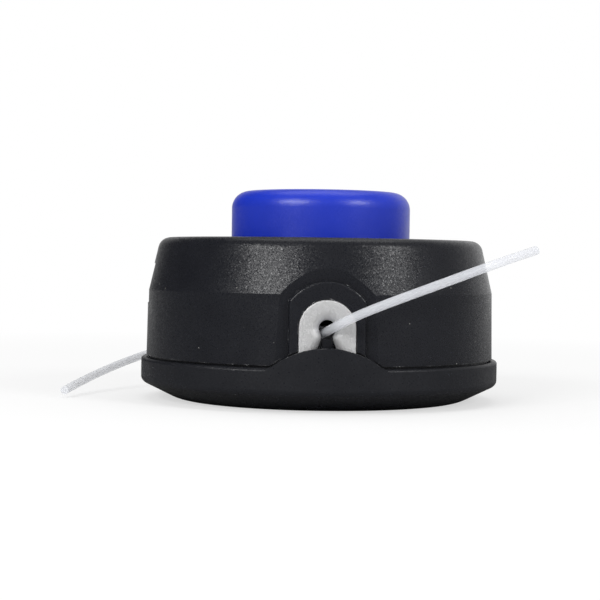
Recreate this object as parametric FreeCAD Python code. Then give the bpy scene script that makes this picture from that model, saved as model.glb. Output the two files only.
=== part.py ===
"""Bump feed trimmer head, standing knob up on its drive side.

Millimetres. The spin axis is Z and the flat foot of the cover is z = 0. One eyelet faces -Y and
the other +Y, and the two latches lie on the X axis.
"""
import FreeCAD
import Part
import math
import os

# Cutting line
LINE_DIAMETER = 2.4

# Housing, the drum on the knob side
HOUSING_RADIUS = 50.5
HOUSING_WALL = 2.5
WALL_DRAFT = 0.3
SHOULDER_HEIGHT = 31.5
CONE_ANGLE = 13.0
HOUSING_TOP = 46.6
TOP_CORNER = 3.5
HOLE_COLLAR_WALL = 2.0
HOLE_COLLAR_DEPTH = 2.5

# Drive-side cover
RIM_OVERHANG = 1.5
RIM_TOP = 12.0
RIM_HEIGHT = 6.8
RIM_CORNER = 2.0
RIM_EDGE = 0.8
FOOT_RADIUS = 41.5
FOOT_CORNER = 10.0
COVER_FLOOR = 3.0
COVER_WALL = 2.6
POCKET_DEPTH = 1.2
POCKET_OUTER_RADIUS = 34.0
UNDERSIDE_RIBS = 8
UNDERSIDE_RIB_WIDTH = 2.2

# Joint between housing and cover
SEAM_GAP = 0.6
SEAM_DEPTH = 0.8
SPIGOT_DEPTH = 3.4
SPIGOT_CLEARANCE = 0.2

# Raised hood round each eyelet, and the flat of the drum that it stands on
HOOD_HALF_WIDTH = 10.0
HOOD_SHOULDER_RISE = 7.2
HOOD_TOP_RISE = 12.3
HOOD_DRAFT = 8.0
HOOD_EDGE = 0.6
HOOD_SINK = 0.2
FLAT_SINK = 1.9

# Eyelets
EYELET_HEIGHT = 22.6
EYELET_RADIUS = 7.6
EYELET_DEPTH = 5.9
EYELET_PROUD = 0.1
EYELET_HOLE_RADIUS = 2.0
EYELET_NECK_HALF_WIDTH = 1.5
EYELET_NECK_DROP = 2.5
EYELET_FLARE_ANGLE = 24.0
EYELET_LIP_RADIUS = 2.6
EYELET_EDGE = 0.5
EYELET_FLANGE = 1.4
EYELET_FLANGE_THICKNESS = 1.5
EYELET_CLEARANCE = 0.15

# Crescent lip, keeper and tongue of the cover below each eyelet
CRESCENT_HALF_WIDTH = 15.0
CRESCENT_RISE = 5.5
CRESCENT_THICKNESS = 1.6
CRESCENT_END_FILLET = 3.2
CRESCENT_CLEARANCE = 0.4
KEEPER_RISE = 1.8
KEEPER_CLEARANCE = 0.6
TONGUE_WIDTH = 2.6
TONGUE_THICKNESS = 2.2
TONGUE_TOP_DROP = 2.8

# Side latches of the cover and their windows in the housing
LATCH_WIDTH = 16.0
LATCH_ARM = 2.0
LATCH_BOTTOM = 28.0
LATCH_HEIGHT = 10.6
LATCH_INSET = 0.7
LATCH_CLEARANCE = 0.4
LATCH_FLEX_ROOM = 2.5

# Bump knob
KNOB_RADIUS = 26.1
KNOB_TOP = 60.4
KNOB_CORNER = 5.0
KNOB_WALL = 2.6
KNOB_WEAR_THICKNESS = 4.5
KNOB_CLEARANCE = 0.6

# Bump travel and ratchet lugs
BUMP_STROKE = 7.0
STOP_GAP = 0.5
REST_GAP = 0.3
LUG_COUNT = 4
LUG_WIDTH = 6.0
LUG_INNER_RADIUS = 30.0
LUG_OUTER_RADIUS = 36.0
LUG_CHAMFER = 0.8
LUG_PLAY = 0.3
LOWER_LUG_HEIGHT = 3.0
UPPER_LUG_HEIGHT = 5.2
LUG_TIP_GAP = 0.7
SPOOL_LUG_ANGLE = 45.0

# Spool
SPOOL_CLEARANCE = 1.9
SPOOL_FLANGE = 2.0
SPOOL_DRUM_RADIUS = 22.0
SPOOL_DRUM_WALL = 2.0
SPOOL_WEB = 3.0
SPOOL_TUBE_WALL = 2.0
SPOOL_BORE_CLEARANCE = 0.25
LINE_HOOK_WIDTH = 4.0
WINDING_DEPTH = 14.0
WINDING_BEVEL = 0.3
WINDING_CLEARANCE = 0.1

# Snap ring that holds the knob on the spool
SNAP_RING_WALL = 2.2
SNAP_RING_HEIGHT = 6.0
SNAP_BEAD = 0.6
SNAP_BEAD_HEIGHT = 1.2
SNAP_CLEARANCE = 0.25
SNAP_SLOT_WIDTH = 4.0

# Hub and drive nut
NUT_ACROSS_FLATS = 17.0
NUT_HEIGHT = 10.0
NUT_BORE = 8.7
NUT_CHAMFER_ANGLE = 30.0
NUT_CLEARANCE = 0.15
NUT_SEAT = 4.0
SHAFT_HOLE_RADIUS = 6.0
HUB_WALL = 2.0
HUB_HEIGHT = 30.0

# Return spring and thrust washer
SPRING_WIRE = 2.0
SPRING_WIRE_SIDES = 8
SPRING_ACTIVE_TURNS = 3.5
SPRING_END_GAP = 0.2
SPRING_ROOM = 1.8
SPRING_SEAT_HEIGHT = 2.0
SPRING_SEAT_CLEARANCE = 0.4
WASHER_THICKNESS = 1.1
WASHER_CLEARANCE = 0.4
WASHER_GAP = 0.1

# How far a cutting solid passes a face, a rib reaches into its wall, and two points may differ
CUT_PAST = 1.0
ROOT = 1.0
TOLERANCE = 1e-6

# Share of a run of a line tail that its bend takes up
BEND_SHARE = 0.45

# Worked-out radii and heights
COVER_RADIUS = HOUSING_RADIUS + RIM_OVERHANG
RIM_BOTTOM = RIM_TOP - RIM_HEIGHT
HOUSING_LOW = RIM_TOP + SEAM_GAP
SPIGOT_RADIUS = HOUSING_RADIUS - SEAM_DEPTH
SPIGOT_LOW = RIM_TOP - SPIGOT_DEPTH
HOUSING_BORE = HOUSING_RADIUS - HOUSING_WALL
SHOULDER_RADIUS = HOUSING_RADIUS - WALL_DRAFT
CONE_SLOPE = math.tan(math.radians(CONE_ANGLE))
CONE_TOP_RADIUS = SHOULDER_RADIUS - (HOUSING_TOP - SHOULDER_HEIGHT) * CONE_SLOPE
CEILING = HOUSING_TOP - HOUSING_WALL
KNOB_HOLE_RADIUS = KNOB_RADIUS + KNOB_CLEARANCE

FLAT_FACE = HOUSING_RADIUS - FLAT_SINK
HOOD_FACE = HOUSING_RADIUS - HOOD_SINK
EYELET_FACE = HOOD_FACE + EYELET_PROUD
EYELET_BACK = EYELET_FACE - EYELET_DEPTH
EYELET_FLANGE_FACE = EYELET_BACK + EYELET_FLANGE_THICKNESS
HOOD_BACK = EYELET_FLANGE_FACE + EYELET_CLEARANCE
EYELET_LOW = RIM_TOP + KEEPER_RISE
SPOOL_RADIUS = EYELET_BACK - SPOOL_CLEARANCE
LATCH_INNER_RADIUS = SPOOL_RADIUS + LATCH_FLEX_ROOM
CRESCENT_INNER_RADIUS = COVER_RADIUS - CRESCENT_THICKNESS

SPOOL_LOW = COVER_FLOOR + STOP_GAP + BUMP_STROKE + LOWER_LUG_HEIGHT
SPOOL_TOP = CEILING - REST_GAP - UPPER_LUG_HEIGHT
CHAMBER = (SPOOL_TOP - SPOOL_LOW - 3 * SPOOL_FLANGE) / 2
LUG_STEP = 360.0 / LUG_COUNT
LUG_CONTACT = 2 * math.degrees(math.asin((LUG_WIDTH + LUG_PLAY) / (2 * LUG_INNER_RADIUS)))

NUT_POCKET_FLATS = NUT_ACROSS_FLATS + 2 * NUT_CLEARANCE
HUB_RADIUS = NUT_POCKET_FLATS / math.sqrt(3) + HUB_WALL
SPOOL_BORE = HUB_RADIUS + SPOOL_BORE_CLEARANCE
SPOOL_TUBE_RADIUS = SPOOL_BORE + SPOOL_TUBE_WALL
SPRING_ROOM_RADIUS = SPOOL_DRUM_RADIUS - SPOOL_DRUM_WALL
SPRING_RADIUS = SPRING_ROOM_RADIUS - SPRING_ROOM - SPRING_WIRE / 2
SPRING_ROOM_TOP = SPOOL_TOP - SPOOL_WEB
WASHER_LOW = SPRING_ROOM_TOP - WASHER_GAP - WASHER_THICKNESS
SNAP_RING_RADIUS = KNOB_RADIUS - KNOB_WALL - SNAP_BEAD - SNAP_CLEARANCE

# Routes of the two line tails, from behind the eyelet to the cut end
FRONT_TAIL = [
    (-1.3, -43.9, 20.9),
    (1.1, -50.7, 22.5),
    (6.5, -55.8, 25.6),
    (14.9, -58.9, 29.2),
    (30.9, -58.3, 35.2),
    (47.8, -50.8, 41.2),
    (58.0, -40.9, 44.0),
]
REAR_TAIL = [
    (1.3, 43.9, 22.9),
    (-1.1, 50.7, 21.7),
    (-6.5, 55.8, 20.3),
    (-14.9, 58.9, 18.4),
    (-30.0, 56.8, 15.5),
    (-43.8, 46.1, 12.1),
    (-56.2, 32.3, 8.6),
    (-65.2, 16.7, 5.2),
    (-70.8, 1.3, 2.7),
    (-73.6, -10.8, 1.3),
]

UP = FreeCAD.Vector(0, 0, 1)
ORIGIN = FreeCAD.Vector(0, 0, 0)


def upright(radius, height):
    """Place a point of a turned profile in the XZ plane."""
    return FreeCAD.Vector(radius, 0, height)


def rounded_wire(points, place=upright):
    """Close a wire through (u, v, corner radius) points, with tangent arcs at the corners."""
    edges = []
    last = None
    first = None
    for i, (u, v, corner) in enumerate(points):
        here = place(u, v)
        before = place(*points[i - 1][:2])
        after = place(*points[(i + 1) % len(points)][:2])
        start = here
        end = here
        arc = None
        if corner > 0:
            back = (before - here).normalize()
            on = (after - here).normalize()
            half = back.getAngle(on) / 2
            reach = corner / math.tan(half)
            start = here + back * reach
            end = here + on * reach
            inward = (back + on).normalize()
            arc = Part.Arc(start, here + inward * (corner / math.sin(half) - corner), end).toShape()
        if last is None:
            first = start
        elif last.distanceToPoint(start) > TOLERANCE:
            edges.append(Part.LineSegment(last, start).toShape())
        if arc:
            edges.append(arc)
        last = end
    if last.distanceToPoint(first) > TOLERANCE:
        edges.append(Part.LineSegment(last, first).toShape())
    return Part.Wire(edges)


def turned(points):
    """Turn a closed (radius, height, corner radius) profile round the spin axis."""
    return Part.Face(rounded_wire(points)).revolve(ORIGIN, UP, 360)


def disc(radius, low, high):
    """Solid cylinder on the spin axis between two heights."""
    return Part.makeCylinder(radius, high - low, FreeCAD.Vector(0, 0, low))


def ring(inner, outer, low, high):
    """Tube on the spin axis between two heights."""
    return disc(outer, low, high).cut(disc(inner, low, high))


def block(x_low, x_high, y_low, y_high, z_low, z_high):
    """Box between two corners."""
    corner = FreeCAD.Vector(x_low, y_low, z_low)
    return Part.makeBox(x_high - x_low, y_high - y_low, z_high - z_low, corner)


def round_axis(shape, angle):
    """Copy a shape turned about the spin axis."""
    copy = shape.copy()
    copy.rotate(ORIGIN, UP, angle)
    return copy


def pattern(shape, count, first=0.0):
    """Copies of a shape spread evenly round the spin axis."""
    return [round_axis(shape, first + 360.0 * i / count) for i in range(count)]


def hexagon(across_flats, low, high):
    """Hexagonal prism on the spin axis."""
    corner = FreeCAD.Vector(across_flats / math.sqrt(3), 0, low)
    corners = [round_axis(Part.Vertex(corner), 60 * i).Point for i in range(6)]
    return Part.Face(Part.makePolygon(corners + corners[:1])).extrude(UP * (high - low))


def envelope(inset):
    """Solid inside the outer skin of the housing, shrunk by an inset."""
    return turned([
        (0, HOUSING_LOW, 0),
        (HOUSING_RADIUS - inset, HOUSING_LOW, 0),
        (SHOULDER_RADIUS - inset, SHOULDER_HEIGHT, 0),
        (CONE_TOP_RADIUS - inset, HOUSING_TOP - inset, TOP_CORNER),
        (0, HOUSING_TOP - inset, 0),
    ])


def arch_wire(half_width, shoulder, top, low, y):
    """Arch outline in an XZ plane: upright sides, and one arc over the top."""
    left_low = FreeCAD.Vector(-half_width, y, low)
    right_low = FreeCAD.Vector(half_width, y, low)
    right = FreeCAD.Vector(half_width, y, shoulder)
    left = FreeCAD.Vector(-half_width, y, shoulder)
    return Part.Wire([
        Part.LineSegment(left_low, right_low).toShape(),
        Part.LineSegment(right_low, right).toShape(),
        Part.Arc(right, FreeCAD.Vector(0, y, top), left).toShape(),
        Part.LineSegment(left, left_low).toShape(),
    ])


def hood():
    """Raised arch with a flat face and drafted sides, on the flat at the front of the drum."""
    run = (HOOD_FACE - HOOD_BACK) * math.tan(math.radians(HOOD_DRAFT))
    shoulder = EYELET_HEIGHT + HOOD_SHOULDER_RISE
    top = EYELET_HEIGHT + HOOD_TOP_RISE
    face = arch_wire(HOOD_HALF_WIDTH, shoulder, top, HOUSING_LOW, -HOOD_FACE)
    back = arch_wire(HOOD_HALF_WIDTH + run, shoulder + run, top + run, HOUSING_LOW, -HOOD_BACK)
    body = Part.makeLoft([face, back], True, True)
    face_edges = [edge for edge in body.Edges if abs(edge.BoundBox.YMax + HOOD_FACE) < TOLERANCE]
    rim = [edge for edge in face_edges if edge.BoundBox.ZMax > EYELET_HEIGHT]
    return body.makeFillet(HOOD_EDGE, rim)


def eyelet_slot():
    """Arch-topped slot through the hood that the eyelet slides up into."""
    radius = EYELET_RADIUS + EYELET_CLEARANCE
    outline = arch_wire(radius, EYELET_HEIGHT, EYELET_HEIGHT + radius, SPIGOT_LOW, -COVER_RADIUS)
    return Part.Face(outline).extrude(FreeCAD.Vector(0, COVER_RADIUS - EYELET_BACK, 0))


def crescent_prism(grow):
    """Prism along Y of the lens-shaped crescent outline with filleted ends, grown by a clearance."""
    half = CRESCENT_HALF_WIDTH
    radius = (half ** 2 + CRESCENT_RISE ** 2) / (2 * CRESCENT_RISE)
    centre = RIM_TOP + CRESCENT_RISE - radius
    foot = RIM_TOP + CRESCENT_END_FILLET
    reach = math.sqrt((radius + CRESCENT_END_FILLET) ** 2 - (foot - centre) ** 2)
    bow = radius + grow
    fillet = CRESCENT_END_FILLET - grow
    y = -COVER_RADIUS - CUT_PAST
    top = FreeCAD.Vector(0, y, centre + bow)
    edges = []
    touch = {}
    corner = {}
    for side in (1, -1):
        middle = FreeCAD.Vector(side * reach, y, foot)
        toward = (FreeCAD.Vector(0, y, centre) - middle).normalize()
        touch[side] = middle + toward * fillet
        corner[side] = FreeCAD.Vector(side * reach, y, SPIGOT_LOW)
        bottom = middle - UP * fillet
        halfway = (toward - UP).normalize()
        edges.append(Part.Arc(bottom, middle + halfway * fillet, touch[side]).toShape())
        edges.append(Part.LineSegment(bottom, corner[side]).toShape())
    edges.append(Part.Arc(touch[1], top, touch[-1]).toShape())
    edges.append(Part.LineSegment(corner[1], corner[-1]).toShape())
    outline = Part.Wire(Part.__sortEdges__(edges))
    return Part.Face(outline).extrude(FreeCAD.Vector(0, COVER_RADIUS / 2, 0))


def latch_window():
    """Opening in the side wall of the housing for the head of one latch."""
    half = LATCH_WIDTH / 2 + LATCH_CLEARANCE
    low = LATCH_BOTTOM - LATCH_CLEARANCE
    high = LATCH_BOTTOM + LATCH_HEIGHT + LATCH_CLEARANCE
    return block(LATCH_INNER_RADIUS, COVER_RADIUS, -half, half, low, high)


def lug(low, high, tip_up):
    """Straight ratchet lug along +X, chamfered on both flanks at its tip."""
    half = LUG_WIDTH / 2
    tip = high if tip_up else low
    root = low if tip_up else high
    bevel = tip - math.copysign(LUG_CHAMFER, tip - root)
    corners = [
        (-half, root),
        (-half, bevel),
        (LUG_CHAMFER - half, tip),
        (half - LUG_CHAMFER, tip),
        (half, bevel),
        (half, root),
    ]
    points = [FreeCAD.Vector(LUG_INNER_RADIUS, y, z) for y, z in corners]
    outline = Part.makePolygon(points + points[:1])
    return Part.Face(outline).extrude(FreeCAD.Vector(LUG_OUTER_RADIUS - LUG_INNER_RADIUS, 0, 0))


def make_housing():
    """Drum with a spigot below, a knob hole above, a flat with a hood at both ends, and two latch windows."""
    inner_top = CONE_TOP_RADIUS + HOUSING_WALL * CONE_SLOPE - HOUSING_WALL
    flat = block(-COVER_RADIUS, COVER_RADIUS, -COVER_RADIUS, -FLAT_FACE, HOUSING_LOW, HOUSING_TOP)
    shell = envelope(0).fuse(disc(SPIGOT_RADIUS, SPIGOT_LOW, HOUSING_LOW))
    shell = shell.cut(pattern(flat, 2))
    shell = shell.fuse(pattern(hood(), 2))
    bore = turned([
        (0, SPIGOT_LOW, 0),
        (HOUSING_BORE, SPIGOT_LOW, 0),
        (SHOULDER_RADIUS - HOUSING_WALL, SHOULDER_HEIGHT, 0),
        (inner_top, CEILING, HOUSING_WALL / 2),
        (0, CEILING, 0),
    ])
    pad = block(-HOOD_HALF_WIDTH - HOUSING_WALL, HOOD_HALF_WIDTH + HOUSING_WALL,
                -HOUSING_BORE, -HOOD_BACK, SPIGOT_LOW, CEILING)
    bore = bore.cut([pad, round_axis(pad, 180)])
    shell = shell.cut(bore)
    shell = shell.cut(disc(KNOB_HOLE_RADIUS, CEILING - CUT_PAST, HOUSING_TOP + CUT_PAST))
    collar_radius = KNOB_HOLE_RADIUS + HOLE_COLLAR_WALL
    collar = ring(KNOB_HOLE_RADIUS, collar_radius, CEILING - HOLE_COLLAR_DEPTH, CEILING + ROOT)
    ceiling_lug = lug(SPOOL_TOP + LUG_TIP_GAP, CEILING + ROOT, False)
    shell = shell.fuse([collar] + pattern(ceiling_lug, LUG_COUNT, SPOOL_LUG_ANGLE + LUG_CONTACT))
    relief_inner = CRESCENT_INNER_RADIUS - CRESCENT_CLEARANCE
    relief = ring(relief_inner, COVER_RADIUS + CUT_PAST, SPIGOT_LOW, SHOULDER_HEIGHT)
    relief = relief.common(crescent_prism(CRESCENT_CLEARANCE))
    cuts = [eyelet_slot(), relief]
    cuts += [round_axis(cut, 180) for cut in cuts]
    cuts += pattern(latch_window(), 2)
    return shell.cut(cuts).removeSplitter()


def make_cover():
    """Dish with a hub for the nut, and below each eyelet a crescent, a keeper and a tongue."""
    skin = [
        (0, 0, 0),
        (FOOT_RADIUS, 0, FOOT_CORNER),
        (COVER_RADIUS, RIM_BOTTOM, RIM_CORNER),
    ]
    spigot_seat = SPIGOT_RADIUS + SPIGOT_CLEARANCE
    well = HOUSING_BORE - SPIGOT_CLEARANCE
    slope = RIM_BOTTOM / (COVER_RADIUS - FOOT_RADIUS)
    well_low = (well - FOOT_RADIUS) * slope + COVER_WALL
    floor_radius = FOOT_RADIUS + (COVER_FLOOR - COVER_WALL) / slope
    dish = turned(skin + [
        (COVER_RADIUS, RIM_TOP, RIM_EDGE),
        (spigot_seat, RIM_TOP, 0),
        (spigot_seat, SPIGOT_LOW, 0),
        (well, SPIGOT_LOW, 0),
        (well, well_low, 0),
        (floor_radius, COVER_FLOOR, 0),
        (0, COVER_FLOOR, 0),
    ])
    above_skin = turned(skin + [(COVER_RADIUS, HOUSING_TOP, 0), (0, HOUSING_TOP, 0)])

    root = COVER_FLOOR - ROOT
    slot_half = EYELET_RADIUS + EYELET_CLEARANCE
    eyelet_room = block(-slot_half, slot_half, -EYELET_FACE - EYELET_CLEARANCE, 0, EYELET_LOW, HOUSING_TOP)
    lip = ring(CRESCENT_INNER_RADIUS, COVER_RADIUS, RIM_TOP - RIM_CORNER, SHOULDER_HEIGHT)
    crescent = lip.common(crescent_prism(0)).cut(eyelet_room)
    keeper_half = slot_half - KEEPER_CLEARANCE
    keeper = block(-keeper_half, keeper_half, -COVER_RADIUS, -EYELET_BACK, root, EYELET_LOW)
    keeper = keeper.common(above_skin).common(disc(COVER_RADIUS - CRESCENT_THICKNESS / 2, 0, HOUSING_TOP))
    tongue_half = TONGUE_WIDTH / 2
    tongue_back = (EYELET_FACE + EYELET_BACK - TONGUE_THICKNESS) / 2
    tongue = block(-tongue_half, tongue_half, -tongue_back - TONGUE_THICKNESS, -tongue_back,
                   EYELET_LOW - ROOT, EYELET_HEIGHT - TONGUE_TOP_DROP)
    below_eyelet = [crescent, keeper, tongue]

    latch_half = LATCH_WIDTH / 2
    latch_top = LATCH_BOTTOM + LATCH_HEIGHT
    band = block(0, COVER_RADIUS, -latch_half, latch_half, root, latch_top)
    arm = ring(LATCH_INNER_RADIUS, LATCH_INNER_RADIUS + LATCH_ARM, root, latch_top)
    arm = arm.common(band).common(above_skin)
    head = block(LATCH_INNER_RADIUS, COVER_RADIUS, -latch_half, latch_half, LATCH_BOTTOM, latch_top)
    head = head.common(envelope(LATCH_INSET)).cut(disc(LATCH_INNER_RADIUS, LATCH_BOTTOM, latch_top))
    latch = arm.fuse(head)

    spring_inner = SPRING_RADIUS - SPRING_WIRE / 2
    hub = disc(HUB_RADIUS, root, HUB_HEIGHT)
    seat = disc(spring_inner - SPRING_SEAT_CLEARANCE, root, COVER_FLOOR + SPRING_SEAT_HEIGHT)
    stop_lug = lug(root, COVER_FLOOR + LOWER_LUG_HEIGHT + STOP_GAP - REST_GAP, True)
    stop_lugs = pattern(stop_lug, LUG_COUNT, SPOOL_LUG_ANGLE + LUG_STEP / 2 + LUG_CONTACT)
    body = dish.fuse([hub, seat] + stop_lugs)
    body = body.fuse(below_eyelet + [round_axis(piece, 180) for piece in below_eyelet])
    body = body.fuse(pattern(latch, 2))

    pocket = ring(HUB_RADIUS + HUB_WALL, POCKET_OUTER_RADIUS, 0, POCKET_DEPTH)
    rib = block(0, COVER_RADIUS, -UNDERSIDE_RIB_WIDTH / 2, UNDERSIDE_RIB_WIDTH / 2, 0, POCKET_DEPTH)
    pocket = pocket.cut(pattern(rib, UNDERSIDE_RIBS, 180.0 / UNDERSIDE_RIBS))
    nut_room = hexagon(NUT_POCKET_FLATS, NUT_SEAT, HUB_HEIGHT)
    return body.cut([pocket, nut_room, disc(SHAFT_HOLE_RADIUS, 0, NUT_SEAT)]).removeSplitter()


def eyelet_section(inner, z):
    """Bar section of the eyelet in an XY plane: rounded lip inside, flange behind the wall."""
    def place(x, y):
        return FreeCAD.Vector(x, y, z)

    return rounded_wire([
        (inner, -EYELET_FACE, EYELET_LIP_RADIUS),
        (EYELET_RADIUS, -EYELET_FACE, EYELET_EDGE),
        (EYELET_RADIUS, -EYELET_FLANGE_FACE, 0),
        (EYELET_RADIUS + EYELET_FLANGE, -EYELET_FLANGE_FACE, 0),
        (EYELET_RADIUS + EYELET_FLANGE, -EYELET_BACK, 0),
        (inner, -EYELET_BACK, EYELET_LIP_RADIUS),
    ], place)


def make_eyelet():
    """Horseshoe: half a turn of the bar section, then legs that narrow to a neck and flare."""
    neck_height = EYELET_HEIGHT - EYELET_NECK_DROP
    flare = (neck_height - EYELET_LOW) * math.tan(math.radians(EYELET_FLARE_ANGLE))
    top_section = eyelet_section(EYELET_HOLE_RADIUS, EYELET_HEIGHT)
    neck_section = eyelet_section(EYELET_NECK_HALF_WIDTH, neck_height)
    foot_section = eyelet_section(EYELET_NECK_HALF_WIDTH + flare, EYELET_LOW)
    hole_centre = FreeCAD.Vector(0, 0, EYELET_HEIGHT)
    arch = Part.Face(top_section).revolve(hole_centre, FreeCAD.Vector(0, -1, 0), 180)
    upper_leg = Part.makeLoft([top_section, neck_section], True, True)
    lower_leg = Part.makeLoft([neck_section, foot_section], True, True)
    leg = upper_leg.fuse(lower_leg)
    other_leg = leg.mirror(ORIGIN, FreeCAD.Vector(1, 0, 0))
    return arch.fuse([leg, other_leg]).removeSplitter()


def make_spool():
    """Two-chamber spool with lugs on both faces, a spring room below and a snap ring above."""
    middle_low = SPOOL_LOW + SPOOL_FLANGE + CHAMBER
    upper_low = middle_low + SPOOL_FLANGE + CHAMBER
    drum = ring(SPRING_ROOM_RADIUS, SPOOL_DRUM_RADIUS, SPOOL_LOW, SPOOL_TOP)
    flanges = [
        ring(SPRING_ROOM_RADIUS, SPOOL_RADIUS, low, low + SPOOL_FLANGE)
        for low in (SPOOL_LOW, middle_low, upper_low)
    ]
    tube = ring(SPOOL_BORE, SPOOL_TUBE_RADIUS, SPOOL_LOW, SPOOL_TOP)
    web = ring(SPOOL_BORE, SPOOL_DRUM_RADIUS, SPRING_ROOM_TOP, SPOOL_TOP)
    upper_lug = lug(SPOOL_TOP - ROOT, CEILING - REST_GAP, True)
    lower_lug = lug(SPOOL_LOW - LOWER_LUG_HEIGHT, SPOOL_LOW + ROOT, False)
    lugs = pattern(upper_lug.fuse(lower_lug), LUG_COUNT, SPOOL_LUG_ANGLE)

    bead_low = SPOOL_TOP + SNAP_RING_HEIGHT - SNAP_BEAD_HEIGHT
    snap_top = SPOOL_TOP + SNAP_RING_HEIGHT
    snap_ring = turned([
        (SNAP_RING_RADIUS - SNAP_RING_WALL, SPOOL_TOP - ROOT, 0),
        (SNAP_RING_RADIUS, SPOOL_TOP - ROOT, 0),
        (SNAP_RING_RADIUS, bead_low, 0),
        (SNAP_RING_RADIUS + SNAP_BEAD, bead_low, 0),
        (SNAP_RING_RADIUS, snap_top, 0),
        (SNAP_RING_RADIUS - SNAP_RING_WALL, snap_top, 0),
    ])
    half_slot = SNAP_SLOT_WIDTH / 2
    slot = block(0, KNOB_RADIUS, -half_slot, half_slot, SPOOL_TOP, snap_top)
    snap_ring = snap_ring.cut(pattern(slot, LUG_COUNT))

    hook_half = LINE_HOOK_WIDTH / 2
    line_hook = block(SPOOL_DRUM_RADIUS, SPOOL_RADIUS + CUT_PAST, -hook_half, hook_half,
                      middle_low, middle_low + SPOOL_FLANGE)
    body = drum.fuse(flanges + [tube, web, snap_ring] + lugs)
    return body.cut(line_hook).removeSplitter()


def make_winding(chamber_low):
    """Wound line in one chamber: a ring whose outside shows the turns of the last layer, bevelled."""
    turns = int(CHAMBER / LINE_DIAMETER)
    inner = SPOOL_DRUM_RADIUS + WINDING_CLEARANCE
    crown = SPOOL_DRUM_RADIUS + WINDING_DEPTH
    bevel = LINE_DIAMETER * WINDING_BEVEL
    profile = [(inner, chamber_low, 0)]
    for i in range(turns):
        low = chamber_low + i * LINE_DIAMETER
        high = low + LINE_DIAMETER
        profile.append((crown - bevel, low, 0))
        profile.append((crown, low + bevel, 0))
        profile.append((crown, high - bevel, 0))
    profile.append((crown - bevel, high, 0))
    profile.append((inner, high, 0))
    return turned(profile)


def make_knob():
    """Domed cap with a thick wear face, a snap bead inside its skirt and keys in the snap slots."""
    inner = KNOB_RADIUS - KNOB_WALL
    roof = KNOB_TOP - KNOB_WEAR_THICKNESS
    bead_top = SPOOL_TOP + SNAP_RING_HEIGHT - SNAP_BEAD_HEIGHT - SNAP_CLEARANCE
    bead_inner = SNAP_RING_RADIUS + SNAP_CLEARANCE
    cap = turned([
        (0, KNOB_TOP, 0),
        (KNOB_RADIUS, KNOB_TOP, KNOB_CORNER),
        (KNOB_RADIUS, SPOOL_TOP, 0),
        (inner, SPOOL_TOP, 0),
        (inner, bead_top - SNAP_BEAD_HEIGHT, 0),
        (bead_inner, bead_top - SNAP_BEAD_HEIGHT / 2, 0),
        (bead_inner, bead_top, 0),
        (inner, bead_top, 0),
        (inner, roof, KNOB_WALL / 2),
        (0, roof, 0),
    ])
    key_half = SNAP_SLOT_WIDTH / 2 - SNAP_CLEARANCE
    key = block(SNAP_RING_RADIUS - SNAP_RING_WALL, inner + KNOB_WALL / 2, -key_half, key_half,
                SPOOL_TOP, SPOOL_TOP + SNAP_RING_HEIGHT)
    return cap.fuse(pattern(key, LUG_COUNT)).removeSplitter()


def make_spring():
    """Compression spring: open turns between two closed end turns, of many-sided wire."""
    low = COVER_FLOOR + SPRING_WIRE / 2
    high = WASHER_LOW - SPRING_WIRE / 2
    end_pitch = SPRING_WIRE + SPRING_END_GAP
    open_height = high - low - 2 * end_pitch
    stretches = [
        (end_pitch, end_pitch),
        (open_height / SPRING_ACTIVE_TURNS, open_height),
        (end_pitch, end_pitch),
    ]
    edges = []
    reached = low
    turned_by = 0.0
    for pitch, height in stretches:
        helix = round_axis(Part.makeHelix(pitch, height, SPRING_RADIUS), turned_by)
        helix.translate(UP * reached)
        edges += helix.Edges
        reached += height
        turned_by += 360.0 * height / pitch
    corner_radius = SPRING_WIRE / 2 / math.cos(math.pi / SPRING_WIRE_SIDES)
    corners = []
    for i in range(SPRING_WIRE_SIDES):
        angle = 2 * math.pi * (i + 0.5) / SPRING_WIRE_SIDES
        across = SPRING_RADIUS + corner_radius * math.cos(angle)
        corners.append(upright(across, low + corner_radius * math.sin(angle)))
    section = Part.makePolygon(corners + corners[:1])
    return Part.Wire(edges).makePipeShell([section], True, True)


def make_nut():
    """Hexagon nut, chamfered at both faces; its bore is the core of the shaft thread."""
    low = NUT_SEAT
    high = NUT_SEAT + NUT_HEIGHT
    corner = NUT_ACROSS_FLATS / math.sqrt(3)
    chamfer = corner - NUT_ACROSS_FLATS / 2
    drop = chamfer * math.tan(math.radians(NUT_CHAMFER_ANGLE))
    turned_blank = turned([
        (0, low, 0),
        (corner - chamfer, low, 0),
        (corner, low + drop, 0),
        (corner, high - drop, 0),
        (corner - chamfer, high, 0),
        (0, high, 0),
    ])
    nut = hexagon(NUT_ACROSS_FLATS, low, high).common(turned_blank)
    return nut.cut(disc(NUT_BORE / 2, low, high))


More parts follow.
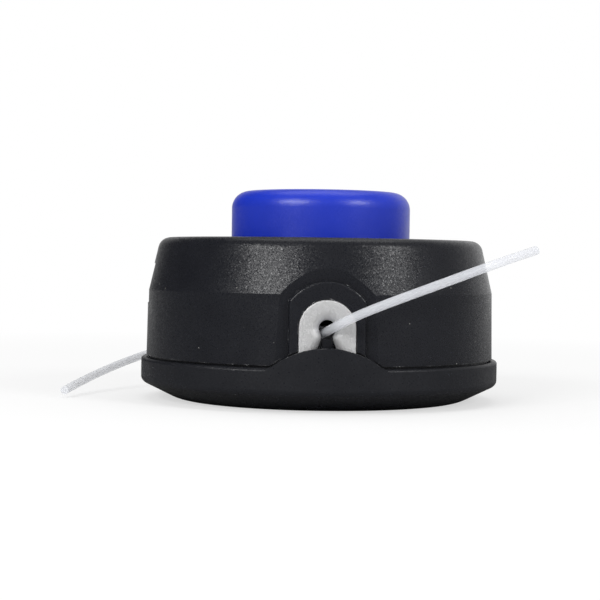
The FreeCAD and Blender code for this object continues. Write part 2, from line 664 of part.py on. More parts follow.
def make_tail(name, route):
    """Round tube along straight runs joined by tangent arcs as wide as the runs allow."""
    points = [FreeCAD.Vector(*p) for p in route]
    edges = []
    radii = []
    last = points[0]
    for before, here, after in zip(points, points[1:], points[2:]):
        back = (before - here).normalize()
        on = (after - here).normalize()
        half_turn = (math.pi - back.getAngle(on)) / 2
        reach = BEND_SHARE * min(before.distanceToPoint(here), after.distanceToPoint(here))
        radius = reach / math.tan(half_turn)
        inward = (back + on).normalize()
        crown = here + inward * (radius / math.cos(half_turn) - radius)
        start = here + back * reach
        edges.append(Part.LineSegment(last, start).toShape())
        last = here + on * reach
        edges.append(Part.Arc(start, crown, last).toShape())
        radii.append(radius)
    edges.append(Part.LineSegment(last, points[-1]).toShape())
    path = Part.Wire(edges)
    section = Part.Wire(Part.makeCircle(LINE_DIAMETER / 2, points[0], points[1] - points[0]))
    tube = path.makePipeShell([section], True, True)
    expected = math.pi * LINE_DIAMETER ** 2 / 4 * path.Length
    print(name, "length", round(path.Length, 1), "radii", [round(r, 1) for r in radii])
    print(name, "volume over section times length", round(tube.Volume / expected, 4))
    return tube


def build():
    """Make every piece of the head, by node name."""
    eyelet = make_eyelet()
    lower_chamber = SPOOL_LOW + SPOOL_FLANGE
    washer_inner = SPOOL_TUBE_RADIUS + WASHER_CLEARANCE
    washer_outer = SPRING_ROOM_RADIUS - WASHER_CLEARANCE
    return {
        "housing": make_housing(),
        "cover": make_cover(),
        "bump_knob": make_knob(),
        "spool": make_spool(),
        "winding_lower": make_winding(lower_chamber),
        "winding_upper": make_winding(lower_chamber + CHAMBER + SPOOL_FLANGE),
        "return_spring": make_spring(),
        "thrust_washer": ring(washer_inner, washer_outer, WASHER_LOW, WASHER_LOW + WASHER_THICKNESS),
        "drive_nut": make_nut(),
        "eyelet_front": eyelet,
        "eyelet_rear": round_axis(eyelet, 180),
        "line_front": make_tail("line_front", FRONT_TAIL),
        "line_rear": make_tail("line_rear", REAR_TAIL),
    }


os.makedirs("parts", exist_ok=True)
for node, shape in build().items():
    print(node, "solids", len(shape.Solids), "valid", shape.isValid(), "volume", round(shape.Volume, 1))
    shape.exportStep("parts/" + node + ".step")
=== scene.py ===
"""Looks of the bump feed trimmer head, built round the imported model. Metres, in the model's own frame.

The head stands knob up on its drive side, the front eyelet faces -Y, and the spin axis is Z.
"""
import bpy
import math
import numpy as np
from mathutils import Matrix, Vector


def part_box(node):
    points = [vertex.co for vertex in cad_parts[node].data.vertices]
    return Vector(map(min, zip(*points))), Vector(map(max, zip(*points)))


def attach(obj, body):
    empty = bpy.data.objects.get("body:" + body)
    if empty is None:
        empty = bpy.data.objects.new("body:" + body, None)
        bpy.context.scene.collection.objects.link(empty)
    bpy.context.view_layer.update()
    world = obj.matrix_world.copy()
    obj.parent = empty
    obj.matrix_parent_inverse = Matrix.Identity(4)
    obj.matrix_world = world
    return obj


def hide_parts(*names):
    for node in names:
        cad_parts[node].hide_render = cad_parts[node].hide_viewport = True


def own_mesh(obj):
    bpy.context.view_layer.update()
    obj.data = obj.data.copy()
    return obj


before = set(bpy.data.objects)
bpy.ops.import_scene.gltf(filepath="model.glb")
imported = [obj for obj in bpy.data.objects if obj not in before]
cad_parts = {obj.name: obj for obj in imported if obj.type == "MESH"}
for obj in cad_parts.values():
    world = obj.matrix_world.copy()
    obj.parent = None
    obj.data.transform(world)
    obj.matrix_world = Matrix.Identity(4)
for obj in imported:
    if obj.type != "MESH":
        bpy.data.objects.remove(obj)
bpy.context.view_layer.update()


# Cover
# The dish that the head stands on, moulded in black glass-filled nylon with its crescent lips, hub and
# latches in one piece. The mould is spark-eroded, so the outside has a fine even grain. The thin edges
# are painted a lighter grey, partly for wear from handling and partly as a painted highlight along them.
MM = 0.001


def put(tree, kind, inputs=None, **settings):
    """Add a shader node, set its options, and fill or link its inputs, by name or by number."""
    node = tree.nodes.new("ShaderNode" + kind)
    for name, value in settings.items():
        setattr(node, name, value)
    for name, value in (inputs or {}).items():
        if isinstance(value, bpy.types.NodeSocket):
            tree.links.new(value, node.inputs[name])
        else:
            node.inputs[name].default_value = value
    return node


def worked(tree, operation, first, second):
    """Result of one sum on two values."""
    return put(tree, "Math", {0: first, 1: second}, operation=operation).outputs[0]


def ramp(tree, value, start, end, first=0.0, last=1.0):
    """Goes from first to last while the value goes from start to end, and holds on either side."""
    return put(tree, "MapRange", {"Value": value, 1: start, 2: end, 3: first, 4: last}).outputs[0]


def cloud(tree, place_on, fineness, detail):
    """Soft noise from 0 to 1, with its fineness in waves to the metre."""
    return put(tree, "TexNoise", {"Vector": place_on, "Scale": fineness, "Detail": detail}).outputs["Fac"]


def mix_value(tree, share, first, second):
    """Value that goes from first to second as share goes from 0 to 1."""
    return put(tree, "Mix", {0: share, 2: first, 3: second}).outputs[0]


def mix_colour(tree, share, first, second):
    """Colour that goes from first to second as share goes from 0 to 1."""
    return put(tree, "Mix", {0: share, 6: first, 7: second}, data_type="RGBA").outputs[2]


def effect(name, inputs, outputs):
    """Start a shader node group: inputs are (label, value) and outputs are (label, kind)."""
    tree = bpy.data.node_groups.new(name, "ShaderNodeTree")
    for label, value in inputs:
        socket = tree.interface.new_socket(label, in_out="INPUT", socket_type="NodeSocketFloat")
        socket.default_value = value
    for label, kind in outputs:
        tree.interface.new_socket(label, in_out="OUTPUT", socket_type="NodeSocket" + kind)
    return tree, tree.nodes.new("NodeGroupInput"), tree.nodes.new("NodeGroupOutput")


def place(tree, group, **values):
    """Put a node group into a material with its own values."""
    node = tree.nodes.new("ShaderNodeGroup")
    node.node_tree = group
    for label, value in values.items():
        node.inputs[label].default_value = value
    return node


RELIEF_DETAIL = 3.0
DRIFT_FINENESS = 140.0
DRIFT_DETAIL = 4.0
DRIFT_START = 0.3
DRIFT_END = 0.7
GLINT_ROUGHNESS = 0.14


def grain_group():
    """Spark-eroded grain: facets of one size in millimetres, each tilted its own way, and a fine relief.

    A facet's normal is the surface's own plus the random colour of its cell less its middle, times the
    tilt. The relief is a noise with a depth in millimetres, and the roughness drifts on a wide noise.
    A share of the facets, drawn by lot, are glass fibres that lie bare and glint.
    """
    tree, given, made = effect(
        "moulded_grain",
        [("Grain", 0.3), ("Tilt", 0.2), ("Depth", 0.005),
         ("Smoothest", 0.4), ("Roughest", 0.5), ("Glints", 0.0)],
        [("Roughness", "Float"), ("Normal", "Vector"), ("Mottle", "Float")])
    place_on = put(tree, "TexCoord").outputs["Object"]
    fineness = worked(tree, "DIVIDE", 1 / MM, given.outputs["Grain"])
    cells = put(tree, "TexVoronoi", {"Vector": place_on, "Scale": fineness})
    lean = put(tree, "VectorMath", {0: cells.outputs["Color"], 1: (0.5, 0.5, 0.5)}, operation="SUBTRACT")
    tilt = put(tree, "VectorMath", {0: lean.outputs[0], "Scale": given.outputs["Tilt"]}, operation="SCALE")
    facing = put(tree, "VectorMath", {0: put(tree, "NewGeometry").outputs["Normal"], 1: tilt.outputs[0]})
    facet = put(tree, "VectorMath", {0: facing.outputs[0]}, operation="NORMALIZE")
    relief = put(tree, "Bump", {
        "Height": cloud(tree, place_on, fineness, RELIEF_DETAIL),
        "Distance": worked(tree, "MULTIPLY", given.outputs["Depth"], MM),
        "Normal": facet.outputs[0],
    })
    mottle = cloud(tree, place_on, DRIFT_FINENESS, DRIFT_DETAIL)
    drift = ramp(
        tree, mottle, DRIFT_START, DRIFT_END, given.outputs["Smoothest"], given.outputs["Roughest"])
    lot = put(tree, "TexWhiteNoise", {"Vector": cells.outputs["Position"]}).outputs["Value"]
    bare = worked(tree, "LESS_THAN", lot, given.outputs["Glints"])
    tree.links.new(mix_value(tree, bare, drift, GLINT_ROUGHNESS), made.inputs["Roughness"])
    tree.links.new(relief.outputs[0], made.inputs["Normal"])
    tree.links.new(mottle, made.inputs["Mottle"])
    return tree


BEVEL_SAMPLES = 6
FLAT_AGREEMENT = 0.97
SHARP_AGREEMENT = 0.8
PATCH_FINENESS = 420.0
PATCH_DETAIL = 6.0
PATCH_START = 0.5
PATCH_END = 0.68
NICK_FINENESS = 1300.0
NICK_DETAIL = 2.0
NICK_START = 0.6
NICK_END = 0.68


def edge_group():
    """Edges, lighter for wear and as a painted highlight: 1 where the surface turns sharply within a width
    in millimetres, broken by noise.

    The turn is how far the normal of a rounded edge and the surface's own agree. The nicks are the same
    edge times a finer noise that only its peaks pass.
    """
    tree, given, made = effect("worn_edge_and_highlight", [("Width", 0.4)], [("Mask", "Float"), ("Nicks", "Float")])
    width = worked(tree, "MULTIPLY", given.outputs["Width"], MM)
    rounded = put(tree, "Bevel", {"Radius": width}, samples=BEVEL_SAMPLES)
    straight = put(tree, "NewGeometry").outputs["Normal"]
    agree = put(tree, "VectorMath", {0: rounded.outputs[0], 1: straight}, operation="DOT_PRODUCT")
    sharp = ramp(tree, agree.outputs["Value"], FLAT_AGREEMENT, SHARP_AGREEMENT)
    place_on = put(tree, "TexCoord").outputs["Object"]
    patches = ramp(tree, cloud(tree, place_on, PATCH_FINENESS, PATCH_DETAIL), PATCH_START, PATCH_END)
    mask = worked(tree, "MULTIPLY", sharp, patches)
    peaks = ramp(tree, cloud(tree, place_on, NICK_FINENESS, NICK_DETAIL), NICK_START, NICK_END)
    tree.links.new(mask, made.inputs["Mask"])
    tree.links.new(worked(tree, "MULTIPLY", mask, peaks), made.inputs["Nicks"])
    return tree


DOT_RADIUS = 0.05
DOT_BLUR_RADIUS = 0.09


def dust_group():
    """Stray dust: a dot in the middle of a share of the cells, which are one spacing in millimetres wide.

    The dot is 1 up to its radius and fades to 0 at its blurred radius, both as shares of the spacing.
    """
    tree, given, made = effect("stray_dust", [("Spacing", 2.5), ("Share", 0.2)], [("Mask", "Float")])
    place_on = put(tree, "TexCoord").outputs["Object"]
    fineness = worked(tree, "DIVIDE", 1 / MM, given.outputs["Spacing"])
    cells = put(tree, "TexVoronoi", {"Vector": place_on, "Scale": fineness})
    dot = ramp(tree, cells.outputs["Distance"], DOT_RADIUS, DOT_BLUR_RADIUS, 1.0, 0.0)
    draw = put(tree, "SeparateColor", {0: cells.outputs["Color"]}).outputs[0]
    chosen = worked(tree, "LESS_THAN", draw, given.outputs["Share"])
    tree.links.new(worked(tree, "MULTIPLY", dot, chosen), made.inputs["Mask"])
    return tree


MOULDED_GRAIN = grain_group()
WORN_EDGE_AND_HIGHLIGHT = edge_group()
STRAY_DUST = dust_group()

BLACK_DARK = (0.0075, 0.0082, 0.0112, 1)
BLACK_PALE = (0.0115, 0.0122, 0.0165, 1)
# Grey for the edges, partly for wear and partly as a painted highlight along them.
WORN_AND_HIGHLIGHT_GREY = (0.1, 0.1, 0.105, 1)
NICKED_WHITE = (0.7, 0.7, 0.7, 1)
DUST_GREY = (0.32, 0.31, 0.29, 1)
BLACK_GLOSS = 0.34


def finish_of(name):
    """Start a material and return it with its node tree and its Principled BSDF."""
    material = bpy.data.materials.new(name)
    material.use_nodes = True
    return material, material.node_tree, material.node_tree.nodes["Principled BSDF"]


def lay_on(tree, shader, colour, skin):
    """Lead a colour, and the roughness and normal of a grain, to the shader."""
    tree.links.new(colour, shader.inputs["Base Color"])
    tree.links.new(skin.outputs["Roughness"], shader.inputs["Roughness"])
    tree.links.new(skin.outputs["Normal"], shader.inputs["Normal"])


def black_plastic(name, grain, tilt, smoothest, roughest, glints):
    """Black moulded nylon: grain in its surface, faint mottle, grey edges with nicks, and a little dust.

    The grey of the edges is partly wear and partly a painted highlight.
    """
    material, tree, shader = finish_of(name)
    skin = place(
        tree, MOULDED_GRAIN, Grain=grain, Tilt=tilt, Smoothest=smoothest, Roughest=roughest, Glints=glints)
    edge = place(tree, WORN_EDGE_AND_HIGHLIGHT, Width=0.45)
    dust = place(tree, STRAY_DUST, Spacing=2.0, Share=0.05)
    body = mix_colour(tree, skin.outputs["Mottle"], BLACK_DARK, BLACK_PALE)
    # Lighter grey on the edges: partly wear, partly a painted highlight along them.
    worn_and_highlit = mix_colour(tree, edge.outputs["Mask"], body, WORN_AND_HIGHLIGHT_GREY)
    nicked = mix_colour(tree, edge.outputs["Nicks"], worn_and_highlit, NICKED_WHITE)
    lay_on(tree, shader, mix_colour(tree, dust.outputs["Mask"], nicked, DUST_GREY), skin)
    shader.inputs["Specular IOR Level"].default_value = BLACK_GLOSS
    return material


def dress(node_name, material):
    """Give a node of the model its finish."""
    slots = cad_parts[node_name].data.materials
    slots.clear()
    slots.append(material)


dress("cover", black_plastic("black_cover", grain=0.3, tilt=0.1, smoothest=0.4, roughest=0.5, glints=0.02))


# Drive nut
# The hexagon steel nut that screws on the trimmer's shaft, zinc plated. It drops into the hexagon pocket
# in the hub of the cover, and its left-hand thread is cut right through.
THREAD_PITCH = 1.25 * MM
THREAD_CORE = 4.35 * MM
THREAD_ROOT = 5.0 * MM
NUT_CHAMFER_ANGLE = math.radians(30)
NUT_SHARP_ANGLE = math.radians(25)
NUT_STEPS_PER_FLAT = 16
NUT_STEPS_PER_PITCH = 12
ZINC_DARK = (0.44, 0.46, 0.48, 1)
ZINC_PALE = (0.62, 0.63, 0.63, 1)


def surface(name, points, closed_round=True, closed_across=False, ends=False):
    """Mesh from a grid of points: rows run across, columns run round, and either way may close on itself.

    With ends, the first and the last row are each closed by one flat face.
    """
    rows, columns = points.shape[:2]
    number = np.arange(rows * columns).reshape(rows, columns)
    wide = np.concatenate([number, number[:, :1]], 1) if closed_round else number
    tall = np.concatenate([wide, wide[:1]], 0) if closed_across else wide
    corners = (tall[:-1, :-1], tall[:-1, 1:], tall[1:, 1:], tall[1:, :-1])
    faces = np.stack(corners, -1).reshape(-1, 4).tolist()
    if ends:
        faces += [number[0, ::-1].tolist(), number[-1].tolist()]
    mesh = bpy.data.meshes.new(name)
    mesh.from_pydata(points.reshape(-1, 3).tolist(), [], faces)
    mesh.shade_smooth()
    piece = bpy.data.objects.new(name, mesh)
    bpy.context.scene.collection.objects.link(piece)
    return piece


def round_axis(radius, angle, height):
    """Points at a radius and an angle round the spin axis, stacked as x, y, z."""
    return np.stack(np.broadcast_arrays(radius * np.cos(angle), radius * np.sin(angle), height), -1)


def threaded_nut(name):
    """Nut as one profile carried round: up the outside, over the top face, down the thread and back.

    The outside is a regular hexagon, the flat's distance over the cosine of the angle from the middle of
    the flat, cut by a 30 degree cone at both ends. The thread is a triangle wave of the height plus the
    share of a turn, so each turn drops it by one pitch, as a left-hand thread does. At both mouths it is
    cut back by a 45 degree cone.
    """
    low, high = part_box(name)
    corner = high.x
    flat = corner * math.cos(math.pi / 6)
    columns = 6 * NUT_STEPS_PER_FLAT
    turn = np.arange(columns) * 2 * np.pi / columns
    hexagon = flat / np.cos((turn % (np.pi / 3)) - np.pi / 6)
    drop = (hexagon - flat) * math.tan(NUT_CHAMFER_ANGLE)
    steps = int((high.z - low.z) / THREAD_PITCH * NUT_STEPS_PER_PITCH)
    down = np.linspace(high.z, low.z, steps)[:, None]
    wave = np.abs(((down - low.z) / THREAD_PITCH + turn / (2 * np.pi)) % 1.0 * 2 - 1)
    mouth = THREAD_ROOT - np.minimum(high.z - down, down - low.z)
    thread = np.maximum(THREAD_CORE + (THREAD_ROOT - THREAD_CORE) * wave, mouth)
    outline = np.concatenate([
        round_axis(np.full((1, columns), flat), turn, low.z),
        round_axis(hexagon[None], turn, low.z + drop[None]),
        round_axis(hexagon[None], turn, high.z - drop[None]),
        round_axis(np.full((1, columns), flat), turn, high.z),
        round_axis(thread, turn, down),
    ])
    piece = surface(name + "_threaded", outline, closed_across=True)
    piece.data.set_sharp_from_angle(angle=NUT_SHARP_ANGLE)
    return piece


def zinc_steel(name):
    """Zinc-plated steel: bright and faintly blue, with a patchy crystal sheen."""
    material, tree, shader = finish_of(name)
    skin = place(tree, MOULDED_GRAIN, Grain=0.4, Tilt=0.06, Smoothest=0.24, Roughest=0.4)
    lay_on(tree, shader, mix_colour(tree, skin.outputs["Mottle"], ZINC_DARK, ZINC_PALE), skin)
    shader.inputs["Metallic"].default_value = 1.0
    return material


def set_in(piece, body, node_name, material):
    """Give a new piece its finish, and let it ride on a body in place of a node of the model."""
    piece.data.materials.append(material)
    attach(piece, body)
    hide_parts(node_name)


ZINC_STEEL = zinc_steel("zinc_steel")
set_in(threaded_nut("drive_nut"), "head", "drive_nut", ZINC_STEEL)


# Return spring and thrust washer
# The steel spring stands on the floor of the cover round the hub, with a closed turn at each end. The
# washer on top of it lets the spool turn without winding the spring up.
SPRING_WIRE_RADIUS = 1.0 * MM
SPRING_END_PITCH = 2.2 * MM
SPRING_OPEN_TURNS = 3.5
SPRING_STEPS_PER_TURN = 72
SPRING_SHARP_ANGLE = math.radians(60)
WIRE_STEPS = 14


def coil_spring(name):
    """Round wire carried along a helix whose height rises slowly, then fast, then slowly again.

    The height at each turn is read off straight lines between the ends of the closed and open turns.
    """
    low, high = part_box(name)
    radius = high.y - SPRING_WIRE_RADIUS
    bottom = low.z + SPRING_WIRE_RADIUS
    top = high.z - SPRING_WIRE_RADIUS
    marks = [0, 1, 1 + SPRING_OPEN_TURNS, 2 + SPRING_OPEN_TURNS]
    heights = [bottom, bottom + SPRING_END_PITCH, top - SPRING_END_PITCH, top]
    turns = np.linspace(0, marks[-1], int(marks[-1] * SPRING_STEPS_PER_TURN))[:, None]
    rise = np.interp(turns, marks, heights)
    around = np.arange(WIRE_STEPS) * 2 * np.pi / WIRE_STEPS
    out = radius + SPRING_WIRE_RADIUS * np.cos(around)
    up = rise + SPRING_WIRE_RADIUS * np.sin(around)
    piece = surface(name + "_coil", round_axis(out, turns * 2 * np.pi, up), ends=True)
    piece.data.set_sharp_from_angle(angle=SPRING_SHARP_ANGLE)
    return piece


spring = coil_spring("return_spring")
set_in(spring, "head", "return_spring", ZINC_STEEL)
dress("thrust_washer", ZINC_STEEL)

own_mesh(spring)


# Spool
# The two-chamber spool inside, with ratchet lugs on both faces. It is moulded in plain black nylon from a
# polished mould, so it is smoother than the outside, and it slides and turns on the hub of the cover.
dress("spool", black_plastic("black_spool", grain=0.8, tilt=0.05, smoothest=0.3, roughest=0.42, glints=0.0))


# Windings
# The wound line in each chamber of the spool: nylon line laid turn beside turn, each layer in the grooves
# of the one below, so the outside shows the rounded turns of the last layer.
LINE_DIAMETER = 2.4 * MM
WINDING_INNER = 22.1 * MM
WINDING_STEPS_ROUND = 160
WINDING_STEPS_PER_TURN = 10
WINDING_SHARP_ANGLE = math.radians(50)
NYLON_DARK = (0.78, 0.8, 0.85, 1)
NYLON_PALE = (0.83, 0.845, 0.885, 1)
NYLON_FINENESS = 160.0
NYLON_DETAIL = 3.0
NYLON_SMOOTHEST = 0.3
NYLON_ROUGHEST = 0.36
NYLON_IOR = 1.53
NYLON_SHEEN = 0.8
NYLON_SHEEN_ROUGHNESS = 0.3


def nylon_line(name, body):
    """Extruded nylon, milky and clouded, with a soft gloss. The body is the share of light it stops."""
    material, tree, shader = finish_of(name)
    place_on = put(tree, "TexCoord").outputs["Object"]
    milk = cloud(tree, place_on, NYLON_FINENESS, NYLON_DETAIL)
    rough = ramp(tree, milk, DRIFT_START, DRIFT_END, NYLON_SMOOTHEST, NYLON_ROUGHEST)
    tree.links.new(mix_colour(tree, milk, NYLON_DARK, NYLON_PALE), shader.inputs["Base Color"])
    tree.links.new(rough, shader.inputs["Roughness"])
    shader.inputs["IOR"].default_value = NYLON_IOR
    shader.inputs["Alpha"].default_value = body
    shader.inputs["Sheen Weight"].default_value = NYLON_SHEEN
    shader.inputs["Sheen Roughness"].default_value = NYLON_SHEEN_ROUGHNESS
    return material


def wound_line(name):
    """Ring of wound line: the outer radius is the bed plus half a circle for each turn.

    The turns climb by one line diameter each time round, so the circles slide up with the angle.
    """
    low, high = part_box(name)
    outer = high.x
    bed = outer - LINE_DIAMETER / 2
    turn = np.arange(WINDING_STEPS_ROUND) * 2 * np.pi / WINDING_STEPS_ROUND
    turns = round((high.z - low.z) / LINE_DIAMETER)
    up = np.linspace(low.z, high.z, turns * WINDING_STEPS_PER_TURN + 1)[:, None]
    across = ((up - low.z) / LINE_DIAMETER - turn / (2 * np.pi)) % 1.0 * 2 - 1
    outside = round_axis(bed + LINE_DIAMETER / 2 * np.sqrt(1 - across ** 2), turn, up)
    inside = round_axis(
        np.full((2, WINDING_STEPS_ROUND), WINDING_INNER), turn, np.array([[high.z], [low.z]]))
    piece = surface(name + "_turns", np.concatenate([outside, inside]), closed_across=True)
    piece.data.set_sharp_from_angle(angle=WINDING_SHARP_ANGLE)
    return piece


WOUND_NYLON = nylon_line("wound_nylon", body=1.0)
for chamber in ("winding_lower", "winding_upper"):
    set_in(wound_line(chamber), "spool", chamber, WOUND_NYLON)


# Housing
# The drum over the spool, moulded in the same black nylon as the cover, with steeper facets to its grain.
# Its cone catches the lamps, and the hood round each eyelet and the windows for the latches are moulded in.
HOUSING_BLACK = black_plastic(
    "black_housing", grain=0.2, tilt=0.18, smoothest=0.31, roughest=0.37, glints=0.12)
dress("housing", HOUSING_BLACK)


# Eyelets
# The two horseshoes that the line runs out through, cast in zinc alloy and tumbled to a satin, so their
# lips are smooth for the line. Each slides up into its hood and stands on the keeper of the cover.
EYELET_RADIUS = 7.6 * MM
EYELET_FLANGE_THICKNESS = 1.5 * MM
EYELET_LIP = 2.6 * MM
EYELET_EDGE = 0.5 * MM
HOLE_RADIUS = 2.2 * MM
NECK_HALF_WIDTH = 1.55 * MM
NECK_DROP = 2.5 * MM
NECK_BEND = 0.8 * MM
LEG_FLARE = math.tan(math.radians(24))
EYELET_SHARP_ANGLE = math.radians(40)
ARCH_STEPS = 72
LEG_STEPS = 36
LIP_STEPS = 12
EDGE_STEPS = 6
CAST_DARK = (0.66, 0.66, 0.67, 1)
CAST_PALE = (0.76, 0.76, 0.76, 1)
CAST_METALLIC = 0.7


def horseshoe(name, facing):
    """Bar section carried up one leg, round the arch and down the other leg.

    The section has two quarter circles for the lip, one for the outer edge and three corners for the flange
    behind. Its inner edge is the hole's circle round the arch. Down a leg it swings in to the neck on half a
    cosine wave, and below the neck it opens on a hyperbola towards the flare. Facing is 1 for the front and
    -1 for the rear eyelet, which is the same piece turned half round.
    """
    low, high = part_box(name)
    face = max(-low.y, high.y)
    depth = high.y - low.y
    flange = high.x - EYELET_RADIUS
    centre = high.z - high.x
    back_lip, front_lip, edge = (
        (start + np.linspace(0, 1, steps)) * np.pi / 2
        for start, steps in ((1, LIP_STEPS), (2, LIP_STEPS), (3, EDGE_STEPS)))
    behind_wall = depth - EYELET_FLANGE_THICKNESS
    across = np.concatenate([
        EYELET_LIP * (1 + np.cos(back_lip)), EYELET_LIP * (1 + np.cos(front_lip)),
        EYELET_EDGE * (np.cos(edge) - 1), [0, flange, flange]])
    deep = np.concatenate([
        depth - EYELET_LIP * (1 - np.sin(back_lip)), EYELET_LIP * (1 + np.sin(front_lip)),
        EYELET_EDGE * (1 + np.sin(edge)), [behind_wall, behind_wall, depth]])
    outside = np.arange(len(across)) >= 2 * LIP_STEPS

    rise = np.linspace(low.z, centre, LEG_STEPS, endpoint=False)
    height = np.concatenate([rise, np.full(ARCH_STEPS + 1, centre), rise[::-1]])[:, None]
    turn = np.pi * np.clip((np.arange(len(height)) - LEG_STEPS) / ARCH_STEPS, 0, 1)[:, None]
    drop = centre - height
    swing = (1 - np.cos(np.pi * np.clip(drop / NECK_DROP, 0, 1))) / 2
    below = np.maximum(drop - NECK_DROP, 0)
    inner = HOLE_RADIUS + (NECK_HALF_WIDTH - HOLE_RADIUS) * swing
    inner = inner + LEG_FLARE * (np.hypot(below, NECK_BEND) - NECK_BEND)
    radius = np.where(outside, EYELET_RADIUS, inner) + across
    points = np.stack(np.broadcast_arrays(
        facing * radius * np.cos(turn), facing * (deep - face), height + radius * np.sin(turn)), -1)
    piece = surface(name + "_cast", points, ends=True)
    piece.data.set_sharp_from_angle(angle=EYELET_SHARP_ANGLE)
    return piece


def cast_metal(name):
    """Tumbled zinc casting: pale satin grey with a fine pitted skin."""
    material, tree, shader = finish_of(name)
    skin = place(tree, MOULDED_GRAIN, Grain=0.2, Tilt=0.35, Smoothest=0.54, Roughest=0.62)
    lay_on(tree, shader, mix_colour(tree, skin.outputs["Mottle"], CAST_DARK, CAST_PALE), skin)
    shader.inputs["Metallic"].default_value = CAST_METALLIC
    return material


CAST_METAL = cast_metal("cast_eyelet")
for eyelet, facing in (("eyelet_front", 1), ("eyelet_rear", -1)):
    set_in(horseshoe(eyelet, facing), "head", eyelet, CAST_METAL)


# Bump knob
# The blue cap that is knocked on the ground, moulded in tough nylon from a smooth mould and snapped on the
# spool. It is new, so its gloss is even.
BLUE_DARK = (0.0005, 0.023, 0.48, 1)
BLUE_PALE = (0.001, 0.028, 0.54, 1)
BLUE_GLOSS = 0.65


def blue_plastic(name):
    """Royal blue nylon: smooth, with a shallow ripple and a soft gloss."""
    material, tree, shader = finish_of(name)
    skin = place(tree, MOULDED_GRAIN, Grain=0.3, Tilt=0.08, Smoothest=0.34, Roughest=0.39)
    lay_on(tree, shader, mix_colour(tree, skin.outputs["Mottle"], BLUE_DARK, BLUE_PALE), skin)
    shader.inputs["Specular IOR Level"].default_value = BLUE_GLOSS
    return material


dress("bump_knob", blue_plastic("blue_knob"))


# Line tails
# The two free ends of the cutting line, stiff extruded nylon, cut square. Each comes off the spool, bends
# over the lip of its eyelet and springs back round the head.
FRONT_TAIL = [
    (-1.5, -43.3, 20.7),
    (1.1, -50.7, 22.7),
    (6.5, -55.8, 26.0),
    (14.9, -58.9, 29.7),
    (30.9, -58.3, 35.7),
    (46.6, -51.5, 41.3),
    (55.7, -43.1, 43.9),
]
REAR_TAIL = [
    (1.3, 43.9, 22.9),
    (-1.1, 50.7, 21.8),
    (-6.5, 55.8, 20.6),
    (-14.9, 58.9, 18.9),
    (-30.0, 56.8, 16.1),
    (-43.8, 46.1, 12.7),
    (-56.2, 32.3, 9.2),
    (-65.2, 16.7, 5.9),
    (-70.8, 1.3, 3.4),
    (-73.3, -9.6, 2.2),
]
TAIL_ROUND_STEPS = 12
TAIL_ROUTE_STEPS = 16
CLEAR_NYLON = nylon_line("clear_nylon", body=0.48)


def line_tail(name, route):
    """One round line along a smooth spline that the points of the route, in millimetres, pull on."""
    curve = bpy.data.curves.new(name, "CURVE")
    curve.dimensions = "3D"
    curve.bevel_depth = LINE_DIAMETER / 2
    curve.bevel_resolution = TAIL_ROUND_STEPS
    curve.use_fill_caps = True
    spline = curve.splines.new("NURBS")
    spline.points.add(len(route) - 1)
    points = np.concatenate([np.array(route) * MM, np.ones((len(route), 1))], 1)
    spline.points.foreach_set("co", points.ravel())
    spline.order_u = 3
    spline.use_endpoint_u = True
    spline.resolution_u = TAIL_ROUTE_STEPS
    piece = bpy.data.objects.new(name + "_cord", curve)
    bpy.context.scene.collection.objects.link(piece)
    set_in(piece, "head", name, CLEAR_NYLON)


line_tail("line_front", FRONT_TAIL)
line_tail("line_rear", REAR_TAIL)


# Studio
# A pale floor without an edge in sight, a bright surround behind the head and two softboxes in front of
# it, the left one wider, with a weak lamp above the head. The floor takes the shadow close to the head.
FLOOR_REACH = 4.0
FLOOR_NEAR = 0.12
FLOOR_FAR = 0.4
NEAR_GLOW = 0.6
FLOOR_PALE = (0.9, 0.9, 0.9, 1)
FLOOR_IN_GLOSS = (0.25, 0.25, 0.25, 1)
FLOOR_ROUGHNESS = 0.9
WHITE = (1, 1, 1, 1)


def seen_rays(tree):
    """1 for rays from the camera or through the line, and 1 for rays off a gloss."""
    path = put(tree, "LightPath")
    clear = worked(tree, "MAXIMUM", path.outputs["Is Camera Ray"], path.outputs["Is Transmission Ray"])
    return clear, path.outputs["Is Glossy Ray"]


def pale_floor(name):
    """Matt pale floor that glows white to the camera far from the head, and to a gloss far behind it.

    Near the head the glow drops to a share of the light, and the rest is the floor's own, with its shadow.
    A gloss sees the floor dimmer than it is.
    """
    material, tree, shader = finish_of(name)
    clear, gloss = seen_rays(tree)
    spot = put(tree, "TexCoord").outputs["Object"]
    away = put(tree, "VectorMath", {0: spot}, operation="LENGTH").outputs["Value"]
    clear_share = worked(tree, "MULTIPLY", clear, ramp(tree, away, FLOOR_NEAR, FLOOR_FAR, NEAR_GLOW))
    back = put(tree, "SeparateXYZ", {0: spot}).outputs["Y"]
    gloss_share = worked(tree, "MULTIPLY", gloss, ramp(tree, back, FLOOR_NEAR, FLOOR_REACH / 2))
    share = worked(tree, "MAXIMUM", gloss_share, clear_share)
    tree.links.new(mix_colour(tree, gloss, FLOOR_PALE, FLOOR_IN_GLOSS), shader.inputs["Base Color"])
    shader.inputs["Roughness"].default_value = FLOOR_ROUGHNESS
    shader.inputs["Specular IOR Level"].default_value = 0.0
    glow = put(tree, "Emission", {"Color": WHITE, "Strength": 1.0})
    blend = put(tree, "MixShader", {0: share, 1: shader.outputs[0], 2: glow.outputs[0]})
    tree.links.new(blend.outputs[0], tree.nodes["Material Output"].inputs["Surface"])
    return material


floor_points = FLOOR_REACH * np.array([[[-1, -1, 0], [1, -1, 0]], [[-1, 1, 0], [1, 1, 0]]])
floor = surface("floor", floor_points, closed_round=False)
floor.data.materials.append(pale_floor("pale_floor"))

SURROUND_STRENGTH = 0.5
LEFT_STRENGTH = 0.05
RIGHT_STRENGTH = 0.3
LEFT_END = -0.3
RIGHT_END = 0.9
BRIGHT_SIDE = (0.3, 0.954, 0)
BRIGHT_START = 0.6


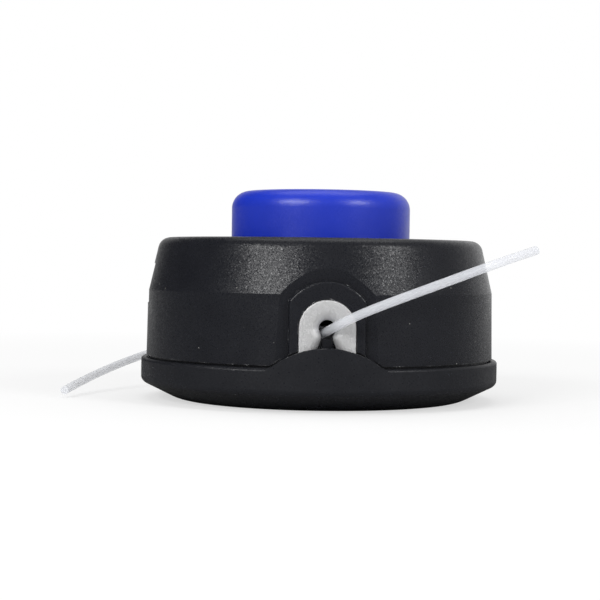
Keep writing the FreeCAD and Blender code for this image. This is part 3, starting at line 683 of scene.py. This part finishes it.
def bright_surround(name):
    """World that is white to the camera and even to matt surfaces.

    To a gloss it is dim, less so towards the right, and rises to white behind the head.
    """
    world = bpy.data.worlds.new(name)
    world.use_nodes = True
    tree = world.node_tree
    clear, gloss = seen_rays(tree)
    way = put(tree, "TexCoord").outputs["Generated"]
    right = put(tree, "SeparateXYZ", {0: way}).outputs["X"]
    aside = ramp(tree, right, LEFT_END, RIGHT_END, LEFT_STRENGTH, RIGHT_STRENGTH)
    back = put(tree, "VectorMath", {0: way, 1: BRIGHT_SIDE}, operation="DOT_PRODUCT").outputs["Value"]
    lit = mix_value(tree, gloss, SURROUND_STRENGTH, ramp(tree, back, BRIGHT_START, 1.0, aside))
    surround = tree.nodes["Background"]
    surround.inputs["Color"].default_value = WHITE
    tree.links.new(worked(tree, "MAXIMUM", lit, clear), surround.inputs["Strength"])
    return world


bpy.context.scene.world = bright_surround("studio")

LAMP_AIM = Vector((0, 0, 30 * MM))


def softbox(name, azimuth, elevation, distance, size, power):
    """Rectangular lamp that faces the head from an angle round it and above the floor."""
    lamp = bpy.data.lights.new(name, "AREA")
    lamp.shape = "RECTANGLE"
    lamp.size, lamp.size_y = size
    lamp.energy = power
    turn = math.radians(azimuth)
    lift = math.radians(elevation)
    back = Vector((math.sin(turn) * math.cos(lift), -math.cos(turn) * math.cos(lift), math.sin(lift)))
    holder = bpy.data.objects.new(name, lamp)
    holder.location = LAMP_AIM + back * distance
    holder.rotation_euler = (-back).to_track_quat("-Z", "Y").to_euler()
    bpy.context.scene.collection.objects.link(holder)


softbox("left_softbox", azimuth=-38, elevation=30, distance=0.9, size=(0.42, 0.22), power=3.8)
softbox("right_softbox", azimuth=49, elevation=30, distance=0.9, size=(0.22, 0.22), power=2.4)
softbox("top_light", azimuth=180, elevation=78, distance=1.0, size=(0.9, 0.6), power=2.6)


# Camera
# It stands level with the upper part of the housing, a little to the left of the front eyelet, pitched
# down slightly and rolled a degree, as the photograph is.
PHOTO_WIDTH = 600
FOCAL_PIXELS = 1530
SENSOR_WIDTH = 36.0
NEAREST_SEEN = 10 * MM
CAMERA_DISTANCE = 450 * MM
CAMERA_HEIGHT = 40.5 * MM
CAMERA_AZIMUTH = math.radians(-2.5)
AXIS_OFF_CENTRE = 19.6
HORIZON_ABOVE_CENTRE = 40.0
CAMERA_ROLL = 0.014

camera_data = bpy.data.cameras.new("camera")
camera_data.sensor_width = SENSOR_WIDTH
camera_data.lens = SENSOR_WIDTH * FOCAL_PIXELS / PHOTO_WIDTH
camera_data.clip_start = NEAREST_SEEN
camera = bpy.data.objects.new("camera", camera_data)
bpy.context.scene.collection.objects.link(camera)
yaw = CAMERA_AZIMUTH + math.atan(AXIS_OFF_CENTRE / FOCAL_PIXELS)
pitch = math.pi / 2 - math.atan(HORIZON_ABOVE_CENTRE / FOCAL_PIXELS)
stand = Vector((math.sin(CAMERA_AZIMUTH), -math.cos(CAMERA_AZIMUTH), 0)) * CAMERA_DISTANCE
stand.z = CAMERA_HEIGHT
camera.matrix_world = (
    Matrix.Translation(stand)
    @ Matrix.Rotation(yaw, 4, "Z")
    @ Matrix.Rotation(pitch, 4, "X")
    @ Matrix.Rotation(CAMERA_ROLL, 4, "Z")
)
bpy.context.scene.camera = camera
bpy.context.scene.view_settings.view_transform = "Standard"
